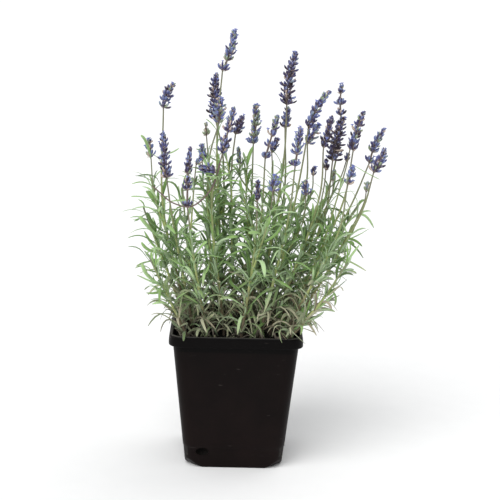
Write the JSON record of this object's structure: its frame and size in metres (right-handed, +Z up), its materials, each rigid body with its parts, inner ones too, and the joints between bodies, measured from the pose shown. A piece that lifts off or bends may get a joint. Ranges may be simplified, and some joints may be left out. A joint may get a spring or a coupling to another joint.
{
  "type": "potted lavender",
  "caption": "Bushy lavender with narrow grey-green leaves and violet flower spikes on thin stalks, standing in soil in a square black nursery pot with a folded rim.",
  "frame": {"origin": "centre of the pot's underside, on the surface it stands on", "axes": "+Z up, -Y towards the front of the pot with the plant's fuller side at +X"},
  "size_m": [0.2581, 0.1777, 0.4257],
  "materials": {
    "pot_plastic": "black moulded plastic, slightly worn",
    "soil": "dark peat compost",
    "lavender_leaf": "matt grey-green leaf with fine down",
    "lavender_flower": "matt violet calyces and florets"
  },
  "bodies": {
    "root": {"pot": "pot_plastic", "soil": "soil", "stem_a": "lavender_leaf", "stem_b": "lavender_leaf", "stem_c": "lavender_leaf", "stem_d": "lavender_leaf", "stem_e": "lavender_leaf", "stem_f": "lavender_leaf", "stem_g": "lavender_leaf", "stem_h": "lavender_leaf", "stem_i": "lavender_leaf", "stem_j": "lavender_leaf", "stem_k": "lavender_leaf", "stem_l": "lavender_leaf", "stem_m": "lavender_leaf", "stem_n": "lavender_leaf", "stem_o": "lavender_leaf", "stem_p": "lavender_leaf", "stem_q": "lavender_leaf", "stem_r": "lavender_leaf", "stem_s": "lavender_leaf", "stem_t": "lavender_leaf", "stem_u": "lavender_leaf", "stem_v": "lavender_leaf", "stem_w": "lavender_leaf", "shoot_1": "lavender_leaf", "shoot_2": "lavender_leaf", "shoot_3": "lavender_leaf", "shoot_4": "lavender_leaf", "shoot_5": "lavender_leaf", "shoot_6": "lavender_leaf", "head_a": "lavender_flower", "head_b": "lavender_flower", "head_c": "lavender_flower", "head_d": "lavender_flower", "head_e": "lavender_flower", "head_f": "lavender_flower", "head_g": "lavender_flower", "head_h": "lavender_flower", "head_i": "lavender_flower", "head_j": "lavender_flower", "head_k": "lavender_flower", "head_l": "lavender_flower", "head_m": "lavender_flower", "head_n": "lavender_flower", "head_o": "lavender_flower", "head_p": "lavender_flower", "head_q": "lavender_flower", "head_r": "lavender_flower", "head_s": "lavender_flower", "head_t": "lavender_flower", "head_u": "lavender_flower", "head_v": "lavender_flower", "head_w": "lavender_flower", "head_a2": "lavender_flower", "head_c2": "lavender_flower", "head_b2": "lavender_flower", "head_j2": "lavender_flower", "head_k2": "lavender_flower", "head_w2": "lavender_flower"}
  },
  "joints": []
}
